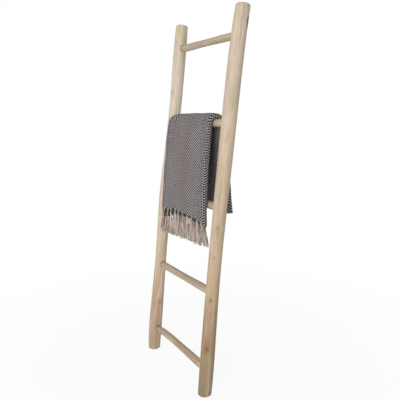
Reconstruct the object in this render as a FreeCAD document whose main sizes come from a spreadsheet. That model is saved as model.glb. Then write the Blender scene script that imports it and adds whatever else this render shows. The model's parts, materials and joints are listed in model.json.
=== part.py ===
"""Leaning blanket ladder of peeled poles, with a fringed throw folded over its second rung.

Millimetres, +Z up, +X along the rungs to the viewer's right, +Y back towards the wall. The poles lean
back by lean_angle and stand on the floor, Z = 0. The origin is on the floor, under the middle of the
poles' lean. Every sub-part is built in a frame of its own and then placed.
"""
import FreeCAD, Part
import math
import os

import Sketcher
from FreeCAD import Placement, Rotation, Vector

SIZES = [
    # poles
    ("rail_length", 1500.0, "left pole, foot to top along its axis"),
    ("right_rail_extra", 2.0, "how much longer the right pole is"),
    ("rail_pitch", 460.0, "between the two poles' axes"),
    ("rail_radius", 27.5, "nominal radius of a pole"),
    ("lean_angle", 6.2, "degrees that the ladder leans back"),
    ("saw_allowance", 9.0, "wood below the floor line that the mitre cut takes off"),
    ("rail_top_bevel", 4.0, "bevel round a pole's sawn top"),
    ("rail_foot_bevel", 2.0, "bevel round a pole's foot"),
    # rungs, numbered from the top
    ("foot_margin", 103.0, "floor to the lowest rung, along the left pole"),
    ("top_margin", 104.5, "highest rung to the left pole's top"),
    ("rung_4_offset", -13.5, "how far rung 4 sits above an even spacing"),
    ("rung_1_left_radius", 14.5, "rung 1 at its left end"),
    ("rung_1_right_radius", 14.1, "rung 1 at its right end"),
    ("rung_2_left_radius", 15.3, ""),
    ("rung_2_right_radius", 15.3, ""),
    ("rung_3_left_radius", 15.3, ""),
    ("rung_3_right_radius", 15.3, ""),
    ("rung_4_left_radius", 14.8, ""),
    ("rung_4_right_radius", 15.3, ""),
    ("rung_5_left_radius", 14.1, ""),
    ("rung_5_right_radius", 15.7, ""),
    ("rung_1_arch", 0.8, "how far the rung's line rises, highest at a third from the left"),
    ("rung_2_arch", -0.6, ""),
    ("rung_3_arch", 0.8, ""),
    ("rung_4_arch", -0.9, ""),
    ("rung_5_arch", 5.6, ""),
    # rung ends and their sockets
    ("shoulder_clearance", 2.6, "from a pole's side to the small end of the rung's taper"),
    ("taper_length", 11.0, "whittled taper at each rung end"),
    ("tenon_radius", 11.0, "round tenon"),
    ("tenon_fit", 0.1, "glue gap round a tenon"),
    ("tenon_end_gap", 1.0, "between a tenon's end and its socket's floor"),
    ("tenon_bevel", 1.0, "bevel on a tenon's end"),
    ("socket_past_axis", 5.0, "how far a socket runs past the pole's axis"),
    ("mouth_gap", 1.6, "open ring round the tenon at a socket's mouth"),
    ("mouth_depth", 7.0, "depth of that ring below the pole's side"),
    # screws from the poles' backs through the tenons
    ("screw_inset", 8.0, "from a pole's bent axis towards the ladder's middle"),
    ("screw_radius", 2.0, "shank"),
    ("screw_head_radius", 4.0, "flat countersunk head"),
    ("screw_head_height", 2.4, "cone under the head"),
    ("screw_length", 40.0, "head to point"),
    ("screw_point", 5.0, "length of the point"),
    ("screw_sink", 1.5, "how far a head's flat lies below the pole's back"),
    ("screw_fit", 0.1, "gap round a screw"),
    ("recess_width", 0.9, "width of the cross recess's arms"),
    ("recess_span", 4.2, "tip to tip of the cross recess"),
    ("recess_depth", 1.4, "depth of the cross recess"),
    # throw
    ("throw_gap_left", 6.0, "folded throw's left edge to the left pole's nominal side"),
    ("throw_gap_right", 61.0, "folded throw's right edge to the right pole's nominal side"),
    ("throw_fit", 0.6, "space between the cloth and the rungs that it lies on"),
    ("throw_thickness", 24.0, "folded stack over the rung and behind it"),
    ("throw_front_puff", 3.0, "how much fuller the stack is in front"),
    ("throw_front_drop", 382.0, "rung 2 to the hem, down the ladder"),
    ("throw_back_drop", 366.0, "rung 2 to the fold at the bottom of the back, along the fall"),
    ("throw_back_flare", 5.3, "degrees that the thick back fall stands out from plumb"),
    ("throw_edge_roll", 9.0, "width of the rounded side edges"),
    ("throw_fold_depth", 3.0, "how far the front's shallow upright folds stand out"),
    ("throw_shoulder_drop", 5.0, "how much lower the crown is at the side edges"),
    ("throw_hem_wave", 3.0, "how far the hem rises and falls"),
    # fringe
    ("tassels", 10.0, "tassels in each row"),
    ("tassel_length", 98.0, "hem to the ends of the yarn"),
    ("tassel_knot_radius", 4.2, "knot"),
    ("tassel_neck_radius", 2.4, "yarn at the hem and below the knot"),
    ("tassel_skirt_radius", 7.5, "loose ends"),
    ("tassel_knot_drop", 13.0, "hem to the knot's middle"),
    ("tassel_gap", 0.5, "hem to the top of the yarn"),
    ("tassel_edge", 14.0, "outermost tassel to the throw's side"),
]

# How an uneven pole departs from a straight one, in mm at even steps from foot to top:
# extra radius, drift sideways, drift back.
POLE_SHAPE = {
    "left": [
        (-1.2, 0.0, 0.0), (0.8, -5.2, -3.0), (-1.9, -7.1, -3.6), (1.3, -8.2, -4.8),
        (-0.4, -1.3, -0.5), (0.3, 2.1, 1.0), (-1.7, 0.4, 0.8),
    ],
    "right": [
        (-0.8, 0.2, 0.2), (0.4, -5.6, -2.6), (-1.4, -11.2, -4.6), (-0.3, -11.7, -4.8),
        (1.2, -10.6, -4.4), (1.7, -9.0, -3.7), (0.1, 0.0, 0.0),
    ],
}

# A rung's line and swell at even steps from its left end: share of its arch, extra radius in mm.
RUNG_SHAPE = [(0.0, 0.0), (0.95, 0.3), (0.8, -0.4), (0.35, 0.2), (0.0, 0.0)]

# The front's shallow upright folds at even steps from its left side: 1 is a hollow, 0 a ridge.
FRONT_FOLDS = [0.3, 0.0, 0.6, 1.0, 0.2, 0.0, 0.8, 0.9, 0.1]

# Shares: the folded stack's thickness at its very side, of the whole; the height of the hem's slope,
# of half the thickness; a tassel's very end, of its skirt's radius.
EDGE_SHARE = 0.55
HEM_SLOPE = 0.4
TASSEL_END_SHARE = 0.7

# The fringe's rows: place in the stack from front 0 to back 1, share of the poles' lean that its
# tassels hang at, and whether it is set half a step along. The under row keeps clear of rung 3.
FRINGE_ROWS = {
    "throw_fringe": (0.12, 0.0, False),
    "throw_fringe_under": (0.6, 1.0, True),
}

# Where a circle is drawn along its axis before its constraint moves it.
FIRST_DRAWN_AT = 100.0

RUNGS = (1, 2, 3, 4, 5)
SIDES = {"left": -1, "right": 1}
LEAN = "Sizes.lean_angle * 1deg"

doc = FreeCAD.newDocument("BlanketLadder")
sheet = doc.addObject("Spreadsheet::Sheet", "Sizes")
for row, (alias, value, note) in enumerate(SIZES, start=1):
    sheet.set(f"A{row}", alias)
    sheet.set(f"B{row}", str(value))
    sheet.set(f"C{row}", note)
    sheet.setAlias(f"B{row}", alias)
for side, shape in POLE_SHAPE.items():
    for step, values in enumerate(shape):
        for name, value in zip(("swell", "sideways", "backward"), values):
            row += 1
            sheet.set(f"A{row}", f"{side}_{name}_{step}")
            sheet.set(f"B{row}", str(value))
            sheet.setAlias(f"B{row}", f"{side}_{name}_{step}")
doc.recompute()


def size(alias):
    """The number that the sheet holds under an alias."""
    return float(sheet.get(alias))


# ---------------------------------------------------------------- places that several pieces share

def rail_length(side):
    """Expression: a pole's length along its axis."""
    return "Sizes.rail_length" if side == "left" else "(Sizes.rail_length + Sizes.right_rail_extra)"


def rung_height(number):
    """Expression: distance of a rung from the foot, along the poles."""
    pitch = "(Sizes.rail_length - Sizes.foot_margin - Sizes.top_margin) / 4"
    even = f"Sizes.foot_margin + {5 - number} * {pitch}"
    offset = " + Sizes.rung_4_offset" if number == 4 else ""
    return f"({even}{offset})"


ORIGIN_BACK = f"(Sizes.rail_length * sin({LEAN}) / 2)"


def pole_value(side, name, number):
    """Expression: a pole's swell or drift at a rung's height, between the two steps beside it."""
    steps = len(POLE_SHAPE[side]) - 1
    share = evaluate(f"{rung_height(number)} / {rail_length(side)}") * steps
    step = min(int(share), steps - 1)
    before, after = f"Sizes.{side}_{name}_{step}", f"Sizes.{side}_{name}_{step + 1}"
    return f"({before} * {step + 1 - share:.4f} + {after} * {share - step:.4f})"


def pole_radius(side, number):
    """Expression: a pole's own radius at a rung."""
    return f"(Sizes.rail_radius + {pole_value(side, 'swell', number)})"


def from_pole_axis(side, number, inward_distance):
    """Expression: X in the pole's frame of a point beside the pole's bent axis, inwards if above 0."""
    return f"({pole_value(side, 'sideways', number)} + {-SIDES[side]} * {inward_distance})"


def taper_end(side, number):
    """Expression: from the ladder's middle out to the small end of a rung's taper."""
    bent = f"{SIDES[side]} * {pole_value(side, 'sideways', number)}"
    return f"(Sizes.rail_pitch / 2 + {bent} - {pole_radius(side, number)} - Sizes.shoulder_clearance)"


def round_end(side, number):
    """Expression: from the ladder's middle out to where a rung begins to taper."""
    return f"({taper_end(side, number)} - Sizes.taper_length)"


def screw_seat(side, number):
    """Expression: from the ladder's plane back to the flat of a screw's head."""
    back = f"sqrt({pole_radius(side, number)} ^ 2 - Sizes.screw_inset ^ 2)"
    return f"({back} + {pole_value(side, 'backward', number)} - Sizes.screw_sink)"


def evaluate(expression):
    """An expression's value now, as a plain number."""
    value = sheet.evalExpression(str(expression))
    return float(getattr(value, "Value", value))


def lean_placement(body, across, along):
    """Put a body's origin in the ladder's plane, and lean it back with the ladder."""
    base = f"vector({across}; {along} * sin({LEAN}) - {ORIGIN_BACK}; {along} * cos({LEAN}))"
    body.setExpression("Placement", f"placement({base}; rotation(vector(1; 0; 0); -{LEAN}))")


# ---------------------------------------------------------------- sketch and feature helpers

def new_body(label):
    body = doc.addObject("PartDesign::Body", label)
    body.Label = label
    return body


def new_sketch(body, plane, name, **offset):
    """A sketch on one of the body's own planes, moved by expressions for x, y and z."""
    sketch = body.newObject("Sketcher::SketchObject", name)
    support = [item for item in body.Origin.OriginFeatures if item.Role == plane][0]
    sketch.AttachmentSupport = [(support, "")]
    sketch.MapMode = "FlatFace"
    for axis, expression in offset.items():
        sketch.setExpression(f"AttachmentOffset.Base.{axis}", str(expression))
    return sketch


def bind(sketch, constraint, expression):
    """Add a constraint whose value is an expression."""
    index = sketch.addConstraint(constraint)
    sketch.setExpression(f"Constraints[{index}]", str(expression))


def add_circle(sketch, radius, up=None):
    """A circle on the sketch's vertical axis, at a height given by an expression."""
    start = 0.0 if up is None else FIRST_DRAWN_AT
    edge = sketch.addGeometry(Part.Circle(Vector(0, start, 0), Vector(0, 0, 1), 10.0))
    if up is None:
        sketch.addConstraint(Sketcher.Constraint("Coincident", edge, 3, -1, 1))
    else:
        sketch.addConstraint(Sketcher.Constraint("PointOnObject", edge, 3, -2))
        bind(sketch, Sketcher.Constraint("DistanceY", -1, 1, edge, 3, start), up)
    bind(sketch, Sketcher.Constraint("Radius", edge, 10.0), radius)


def add_outline(sketch, points):
    """A closed outline through (x, y) points, each a pair of expressions; 0 puts a point on an axis."""
    drawn = [Vector(evaluate(x), evaluate(y), 0) for x, y in points]
    count = len(points)
    for index in range(count):
        sketch.addGeometry(Part.LineSegment(drawn[index], drawn[(index + 1) % count]))
    for index in range(count):
        sketch.addConstraint(Sketcher.Constraint("Coincident", index, 2, (index + 1) % count, 1))
    for index, (x, y) in enumerate(points):
        if x == 0:
            sketch.addConstraint(Sketcher.Constraint("PointOnObject", index, 1, -2))
        else:
            bind(sketch, Sketcher.Constraint("DistanceX", -1, 1, index, 1, drawn[index].x), x)
        if y == 0:
            sketch.addConstraint(Sketcher.Constraint("PointOnObject", index, 1, -1))
        else:
            bind(sketch, Sketcher.Constraint("DistanceY", -1, 1, index, 1, drawn[index].y), y)


def loft(body, sketches, name, ruled=False):
    feature = body.newObject("PartDesign::AdditiveLoft", name)
    feature.Profile = sketches[0]
    feature.Sections = sketches[1:]
    feature.Ruled = ruled
    return feature


def closed_edges(shape):
    """(name, edge) for each edge that closes on itself, as a round's rim does."""
    return [(f"Edge{i}", edge) for i, edge in enumerate(shape.Edges, start=1) if edge.isClosed()]


def bevel(body, name, edges, expression):
    """Chamfer named edges of the body as it stands."""
    base = body.Tip
    chamfer = body.newObject("PartDesign::Chamfer", name)
    chamfer.Base = (base, edges)
    chamfer.setExpression("Size", expression)
    doc.recompute()


def cut_through(body, sketch, name, side):
    """Cut a sketch through everything on one side of it: side +1 is along its normal."""
    pocket = body.newObject("PartDesign::Pocket", name)
    pocket.Profile = sketch
    pocket.Type = "ThroughAll"
    pocket.Reversed = side > 0
    return pocket


# ---------------------------------------------------------------- poles

def make_rail(side):
    """A pole, standing on its own Z axis: lofted through uneven rounds, sawn, socketed and drilled."""
    inward = -SIDES[side]
    length = rail_length(side)
    body = new_body(f"{side}_rail")
    steps = len(POLE_SHAPE[side]) - 1
    rounds = []
    for step in range(steps + 1):
        height = f"{length} * {step} / {steps}" if step else "-Sizes.saw_allowance"
        drift = {"x": f"Sizes.{side}_sideways_{step}", "y": f"Sizes.{side}_backward_{step}"}
        sketch = new_sketch(body, "XY_Plane", f"{side}_round_{step}", z=height, **drift)
        add_circle(sketch, f"Sizes.rail_radius + Sizes.{side}_swell_{step}")
        rounds.append(sketch)
    loft(body, rounds, f"{side}_pole")

    saw = new_sketch(body, "YZ_Plane", f"{side}_saw_line")
    saw.setExpression("AttachmentOffset.Rotation", f"rotation(vector(0; 0; 1); {LEAN})")
    reach = "Sizes.rail_radius * 2"
    below = "-Sizes.saw_allowance * 3"
    add_outline(saw, [(f"-{reach}", 0), (reach, 0), (reach, below), (f"-{reach}", below)])
    pocket = body.newObject("PartDesign::Pocket", f"{side}_foot_cut")
    pocket.Profile = saw
    pocket.Type = "ThroughAll"
    pocket.SideType = "Symmetric"
    doc.recompute()

    for name, highest in (("foot", False), ("top", True)):
        bevel(body, f"{side}_{name}_bevel", [end_edge(pocket.Shape, highest)], f"Sizes.rail_{name}_bevel")

    for number in RUNGS:
        mouth_floor = f"({pole_radius(side, number)} - Sizes.mouth_depth)"
        for part, radius, start in (
            ("socket", "Sizes.tenon_radius + Sizes.tenon_fit", "-Sizes.socket_past_axis"),
            ("mouth", "Sizes.tenon_radius + Sizes.mouth_gap", mouth_floor),
        ):
            name = f"{side}_{part}_{number}"
            floor = from_pole_axis(side, number, start)
            sketch = new_sketch(body, "YZ_Plane", f"{name}_round", z=floor)
            add_circle(sketch, radius, rung_height(number))
            cut_through(body, sketch, name, inward)
        drill(body, side, number)
    lean_placement(body, f"{SIDES[side]} * Sizes.rail_pitch / 2", "0")
    return body


def end_edge(shape, highest):
    """The name of the edge round a pole's top or foot: the closed one that lies highest or lowest."""
    heights = {name: edge.CenterOfMass.z for name, edge in closed_edges(shape)}
    return (max if highest else min)(heights, key=heights.get)


# ---------------------------------------------------------------- screws

def screw_profile(sketch, seat, gap, open_end=None):
    """Half of a countersunk screw beside the sketch's upright axis, head up, grown by a gap all round."""
    neck = f"({seat} - Sizes.screw_head_height)"
    tip = f"({seat} - Sizes.screw_length - {gap})"
    shank = f"(Sizes.screw_radius + {gap})"
    head = f"(Sizes.screw_head_radius + {gap})"
    top = open_end or seat
    points = [(0, tip), (shank, f"({tip} + Sizes.screw_point)"), (shank, f"({neck} - {gap})")]
    if open_end:
        points.append((head, f"({seat} - {gap} / 2)"))
    add_outline(sketch, points + [(head, top), (0, top)])


def drill(body, side, number):
    """Bore and countersink for one screw, open to the pole's back."""
    name = f"{side}_screw_hole_{number}"
    place = {"x": from_pole_axis(side, number, "Sizes.screw_inset"), "z": rung_height(number)}
    sketch = new_sketch(body, "XY_Plane", f"{name}_profile", **place)
    screw_profile(sketch, screw_seat(side, number), "Sizes.screw_fit", "Sizes.rail_radius * 2")
    groove = body.newObject("PartDesign::Groove", name)
    groove.Profile = sketch
    groove.ReferenceAxis = (sketch, ["V_Axis"])
    groove.Angle = 360.0


def make_screws(side):
    """One pole's screws, a row of separate solids in the pole's own frame."""
    body = new_body(f"{side}_rail_screws")
    body.AllowCompound = True
    for number in RUNGS:
        height, seat = rung_height(number), screw_seat(side, number)
        across = from_pole_axis(side, number, "Sizes.screw_inset")
        sketch = new_sketch(body, "XY_Plane", f"{side}_screw_profile_{number}", x=across, z=height)
        screw_profile(sketch, seat, "0")
        turned = body.newObject("PartDesign::Revolution", f"{side}_screw_{number}")
        turned.Profile = sketch
        turned.ReferenceAxis = (sketch, ["V_Axis"])
        turned.Angle = 360.0
        recess = new_sketch(body, "XZ_Plane", f"{side}_recess_{number}", x=across, y=height, z=f"-{seat}")
        add_cross(recess)
        pocket = body.newObject("PartDesign::Pocket", f"{side}_cross_recess_{number}")
        pocket.Profile = recess
        pocket.setExpression("Length", "Sizes.recess_depth")
        pocket.Reversed = True
    lean_placement(body, f"{SIDES[side]} * Sizes.rail_pitch / 2", "0")
    return body


def add_cross(sketch):
    """A cross-shaped outline centred on the sketch's origin."""
    near, far = "Sizes.recess_width / 2", "Sizes.recess_span / 2"
    arm = [(far, near), (near, near), (near, far)]
    points = []
    for turn, (right, up) in enumerate([("", ""), ("-", ""), ("-", "-"), ("", "-")]):
        corners = arm if turn % 2 == 0 else arm[::-1]
        points += [(f"{right}{x}", f"{up}{y}") for x, y in corners]
    add_outline(sketch, points)


# ---------------------------------------------------------------- rungs

def make_rung(number):
    """A rung along its own X axis: an uneven round, a whittled taper and a tenon at each end."""
    body = new_body(f"rung_{number}")
    left, right = f"Sizes.rung_{number}_left_radius", f"Sizes.rung_{number}_right_radius"
    steps = len(RUNG_SHAPE) - 1
    rounds = []
    for step, (rise, swell) in enumerate(RUNG_SHAPE):
        share = step / steps
        along = f"{share} * {round_end('right', number)} - {1 - share} * {round_end('left', number)}"
        rise = f"{rise} * Sizes.rung_{number}_arch"
        sketch = new_sketch(body, "YZ_Plane", f"rung_{number}_round_{step}", y=rise, z=along)
        add_circle(sketch, f"{left} * {1 - share} + {right} * {share} + {swell}")
        rounds.append(sketch)
    loft(body, rounds, f"rung_{number}_round")

    for side, sign in SIDES.items():
        name = f"rung_{number}_{side}"
        shoulder, small_end = f"{sign} * {round_end(side, number)}", f"{sign} * {taper_end(side, number)}"
        wide = new_sketch(body, "YZ_Plane", f"{name}_shoulder", z=shoulder)
        add_circle(wide, left if side == "left" else right)
        narrow = new_sketch(body, "YZ_Plane", f"{name}_taper_end", z=small_end)
        add_circle(narrow, "Sizes.tenon_radius")
        loft(body, [wide, narrow], f"{name}_taper", ruled=True)
        base = new_sketch(body, "YZ_Plane", f"{name}_tenon_round", z=small_end)
        add_circle(base, "Sizes.tenon_radius")
        tenon = body.newObject("PartDesign::Pad", f"{name}_tenon")
        tenon.Profile = base
        inside = f"{pole_radius(side, number)} + Sizes.socket_past_axis - Sizes.tenon_end_gap"
        tenon.setExpression("Length", f"Sizes.shoulder_clearance + {inside}")
        tenon.Reversed = sign < 0
    doc.recompute()
    bevel(body, f"rung_{number}_tenon_bevels", outermost_edges(tenon.Shape), "Sizes.tenon_bevel")

    holes = new_sketch(body, "XZ_Plane", f"rung_{number}_pilot_rounds")
    for side, sign in SIDES.items():
        start = Vector(sign * FIRST_DRAWN_AT, 0, 0)
        edge = holes.addGeometry(Part.Circle(start, Vector(0, 0, 1), 2.0))
        holes.addConstraint(Sketcher.Constraint("PointOnObject", edge, 3, -1))
        place = f"{sign} * Sizes.rail_pitch / 2 + {from_pole_axis(side, number, 'Sizes.screw_inset')}"
        bind(holes, Sketcher.Constraint("DistanceX", -1, 1, edge, 3, start.x), place)
        bind(holes, Sketcher.Constraint("Radius", edge, 2.0), "Sizes.screw_radius + Sizes.screw_fit")
    pocket = body.newObject("PartDesign::Pocket", f"rung_{number}_pilot_holes")
    pocket.Profile = holes
    pocket.Type = "ThroughAll"
    pocket.SideType = "Symmetric"
    lean_placement(body, "0", rung_height(number))
    return body


def outermost_edges(shape):
    """Names of the closed edges at the two ends of a rung."""
    across = {name: edge.CenterOfMass.x for name, edge in closed_edges(shape)}
    return [min(across, key=across.get), max(across, key=across.get)]


# ---------------------------------------------------------------- throw

def throw_frame():
    """Numbers that the throw's sections and its fringe share, in the ladder's frame (floor, Y, Z)."""
    lean = math.radians(size("lean_angle"))
    clear = size("rail_pitch") / 2 - size("rail_radius")
    frame = {
        "left": -clear + size("throw_gap_left"),
        "right": clear - size("throw_gap_right"),
        "up": Vector(0, math.sin(lean), math.cos(lean)),
        "back": Vector(0, math.cos(lean), -math.sin(lean)),
        "shift": Vector(0, -size("rail_length") * math.sin(lean) / 2, 0),
    }
    frame["rung"] = frame["up"] * evaluate(rung_height(2))
    frame["rung"].z += max(0.0, size("rung_2_arch"))
    swell = max(extra for _, extra in RUNG_SHAPE)
    radius = max(size("rung_2_left_radius"), size("rung_2_right_radius")) + swell
    resting = max(size("rung_3_left_radius"), size("rung_3_right_radius")) + swell
    frame["inner"] = max(radius, resting) + size("throw_fit") + abs(size("rung_2_arch"))
    return frame


def throw_section(frame, across, thickness, puff, crown, hem_drop):
    """One closed section of the folded throw, square to X, of lines and arcs under a half circle."""
    slant = Vector(across, 0, 0)
    centre = frame["rung"] + slant
    up, back = frame["up"], frame["back"]
    flare = size("throw_back_flare")
    inner = frame["inner"]
    outer = inner + thickness
    front = outer + puff
    half = thickness / 2
    drop = size("throw_back_drop")
    hem = centre - up * hem_drop
    front_degrees = 180 - size("lean_angle")

    def toward(degrees):
        """Direction square to the rung: 0 degrees is straight back and 90 is straight up."""
        return Vector(0, math.cos(math.radians(degrees)), math.sin(math.radians(degrees)))

    def round_rung(radius, degrees):
        return centre + toward(degrees) * radius

    def round_fold(degrees):
        """A point round the fold at the bottom of the back fall, on its back face at 0 degrees."""
        middle = centre + toward(flare) * (inner + half) - toward(flare + 90) * (drop - half)
        return middle + toward(flare + degrees) * half

    # Each step is an end point, after the point that an arc to it passes through.
    start = hem - back * front + up * half * HEM_SLOPE
    steps = [
        [centre - back * front],
        [round_rung((front + crown) / 2, (90 + front_degrees) / 2), round_rung(crown, 90)],
        [round_rung((outer + crown) / 2, (90 + flare) / 2), round_rung(outer, flare)],
        [round_fold(0)],
        [round_fold(-45), round_fold(-90)],
        [round_fold(-135), round_fold(-180)],
        [round_rung(inner, flare)],
        [round_rung(inner, (90 + flare) / 2), round_rung(inner, 90)],
        [round_rung(inner, (90 + front_degrees) / 2), round_rung(inner, front_degrees)],
        [hem - back * inner + up * half * HEM_SLOPE],
        [hem - back * (inner + front) / 2],
        [start],
    ]
    edges = []
    for step in steps:
        curve = Part.LineSegment(start, *step) if len(step) == 1 else Part.Arc(start, *step)
        edges.append(curve.toShape())
        start = step[-1]
    return Part.Wire(edges)


def make_throw():
    """The folded stack over rung 2: front fall against rung 3, crown, and a back fall hanging free."""
    frame = throw_frame()
    left, right = frame["left"], frame["right"]
    roll, full = size("throw_edge_roll"), size("throw_thickness")
    fold, puff = size("throw_fold_depth"), size("throw_front_puff")
    wave, drop = size("throw_hem_wave"), size("throw_front_drop")
    top = frame["inner"] + full

    def body_section(share):
        """A section between the rounded edges: share runs from 0 at the left to 1 at the right."""
        across = left + roll + (right - left - 2 * roll) * share
        ridge = fold * FRONT_FOLDS[round(share * (len(FRONT_FOLDS) - 1))]
        crown = top - size("throw_shoulder_drop") * (2 * share - 1) ** 4
        return throw_section(frame, across, full, puff - ridge, crown, drop + wave * (2 * share - 1))

    def edge_section(side, share):
        """A section within a rounded edge: share runs from 0 at the very side to 1 at the body."""
        stack = full * (1 - (1 - EDGE_SHARE) * (1 - share) ** 2)
        across = left + roll * share if side < 0 else right - roll * share
        crown = frame["inner"] + stack - size("throw_shoulder_drop")
        return throw_section(frame, across, stack, puff * share, crown, drop + wave * side)

    steps = len(FRONT_FOLDS) - 1
    lofts = [Part.makeLoft([body_section(step / steps) for step in range(steps + 1)], True, False)]
    for side in SIDES.values():
        outer = [edge_section(side, share) for share in (0.0, 0.5)]
        lofts.append(Part.makeLoft(outer + [body_section((side + 1) / 2)], True, False))
    throw = doc.addObject("Part::Feature", "throw")
    throw.Label = "throw"
    throw.Shape = lofts[0].fuse(lofts[1:]).removeSplitter()
    throw.Placement = Placement(frame["shift"], Rotation())
    return throw


def tassel_profile(sketch):
    """Half of one tassel beside the sketch's upright axis, hanging down from the sketch's origin."""
    neck, knot, skirt = "Sizes.tassel_neck_radius", "Sizes.tassel_knot_radius", "Sizes.tassel_skirt_radius"
    middle = "Sizes.tassel_knot_drop"
    end = "-Sizes.tassel_length"
    add_outline(sketch, [
        (0, "-Sizes.tassel_gap"),
        (neck, "-Sizes.tassel_gap"),
        (neck, f"-({middle} - {knot})"),
        (knot, f"-({middle} - {knot} / 2)"),
        (knot, f"-({middle} + {knot} / 2)"),
        (neck, f"-({middle} + {knot})"),
        (skirt, f"{end} + {skirt}"),
        (f"{skirt} * {TASSEL_END_SHARE}", end),
        (0, end),
    ])


def make_fringe(label, depth, lean_share, half_step):
    """A row of separate tassels below the hem."""
    frame = throw_frame()
    body = new_body(label)
    body.AllowCompound = True
    profile = new_sketch(body, "XZ_Plane", f"{label}_profile")
    tassel_profile(profile)
    turned = body.newObject("PartDesign::Revolution", f"{label}_tassel")
    turned.Profile = profile
    turned.ReferenceAxis = (profile, ["V_Axis"])
    turned.Angle = 360.0
    tassels = int(size("tassels"))
    count = tassels - 1 if half_step else tassels
    edge = size("tassel_edge")
    step = (frame["right"] - frame["left"] - 2 * edge) / (tassels - 1)
    row = body.newObject("PartDesign::LinearPattern", f"{label}_row")
    row.Originals = [turned]
    row.Direction = (profile, ["H_Axis"])
    row.Length = step * (count - 1)
    row.Occurrences = count
    body.Tip = row
    out = frame["inner"] + size("throw_thickness") * (1 - depth)
    down = size("throw_front_drop") + size("throw_hem_wave")
    hem = frame["rung"] - frame["up"] * down - frame["back"] * out
    start = Vector(frame["left"] + edge + (step / 2 if half_step else 0), 0, 0)
    tilt = Rotation(Vector(1, 0, 0), -size("lean_angle") * lean_share)
    body.Placement = Placement(hem + start + frame["shift"], tilt)
    return body


# ---------------------------------------------------------------- build, check and write

parts = [make_rail(side) for side in SIDES]
parts += [make_rung(number) for number in RUNGS]
parts += [make_screws(side) for side in SIDES]
parts.append(make_throw())
parts += [make_fringe(label, *row) for label, row in FRINGE_ROWS.items()]
doc.recompute()

for item in doc.Objects:
    if "Invalid" in item.State or "Error" in item.State:
        raise RuntimeError(f"{item.Label} did not build: {item.State}")
for part in parts:
    if part.Shape.isNull() or not part.Shape.isValid():
        raise RuntimeError(f"{part.Label} has no sound shape")

os.makedirs("parts", exist_ok=True)
for part in parts:
    part.Shape.exportStep(f"parts/{part.Label}.step")
    print(f"{part.Label}: {len(part.Shape.Solids)} solid(s), {part.Shape.Volume / 1000:.1f} cm3")
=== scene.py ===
"""Looks of a leaning blanket ladder: peeled poles, whittled rungs and a fringed throw over rung 2.

Metres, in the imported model's frame: +Z up, +X along the rungs to the viewer's right, +Y back to the wall.
The wood and the screws are the model's own pieces with procedural materials. The throw is one woven sheet,
folded as a real one is: once along its length, then twice across, and hung over the rung.
"""

import json
import math
import random

import bmesh
import bpy
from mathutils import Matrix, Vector, noise


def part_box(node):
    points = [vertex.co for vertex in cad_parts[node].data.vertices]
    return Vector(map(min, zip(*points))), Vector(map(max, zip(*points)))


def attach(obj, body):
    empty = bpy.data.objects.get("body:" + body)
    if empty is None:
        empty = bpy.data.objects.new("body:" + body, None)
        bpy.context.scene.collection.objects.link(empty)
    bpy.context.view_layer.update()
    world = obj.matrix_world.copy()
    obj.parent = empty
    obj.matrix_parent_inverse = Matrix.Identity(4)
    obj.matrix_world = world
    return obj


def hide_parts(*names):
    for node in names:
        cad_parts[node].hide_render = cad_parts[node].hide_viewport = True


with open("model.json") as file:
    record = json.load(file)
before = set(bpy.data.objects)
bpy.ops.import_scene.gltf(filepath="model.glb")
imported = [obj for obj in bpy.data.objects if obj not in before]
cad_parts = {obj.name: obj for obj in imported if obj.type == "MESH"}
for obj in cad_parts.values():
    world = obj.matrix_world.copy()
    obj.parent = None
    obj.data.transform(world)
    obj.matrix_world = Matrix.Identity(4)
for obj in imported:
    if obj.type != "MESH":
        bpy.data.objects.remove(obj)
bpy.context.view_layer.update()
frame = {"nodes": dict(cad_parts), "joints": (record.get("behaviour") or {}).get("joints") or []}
scene = bpy.context.scene


# ---------------------------------------------------------------- camera, fitted to the photograph

PHOTO_SIZE = 400
FOCAL_LENGTH_PIXELS = 469.0
SENSOR_WIDTH = 36.0
CAMERA_PLACE = Vector((1.6892, -0.9827, 1.0789))
CAMERA_AZIMUTH = math.radians(58.89)
CAMERA_PITCH_DOWN = math.radians(9.717)


def make_camera():
    data = bpy.data.cameras.new("photo_camera")
    data.sensor_fit = "HORIZONTAL"
    data.sensor_width = SENSOR_WIDTH
    data.lens = SENSOR_WIDTH * FOCAL_LENGTH_PIXELS / PHOTO_SIZE
    camera = bpy.data.objects.new("photo_camera", data)
    camera.location = CAMERA_PLACE
    camera.rotation_euler = (math.pi / 2 - CAMERA_PITCH_DOWN, 0.0, CAMERA_AZIMUTH)
    scene.collection.objects.link(camera)
    scene.camera = camera


# ---------------------------------------------------------------- the ladder's own directions, from the frame

def corners_of(node):
    low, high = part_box(node)
    return Vector(low), Vector(high)


def middle_of(node):
    low, high = corners_of(node)
    return (low + high) / 2


LIFT_AXIS = Vector(frame["joints"][0]["axis"]).normalized()
LEAN = math.atan2(LIFT_AXIS.y, LIFT_AXIS.z)
UP = Vector((0.0, math.sin(LEAN), math.cos(LEAN)))
BACK = Vector((0.0, math.cos(LEAN), -math.sin(LEAN)))
LADDER_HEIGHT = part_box("left_rail")[1][2]


# ---------------------------------------------------------------- material helper

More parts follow.
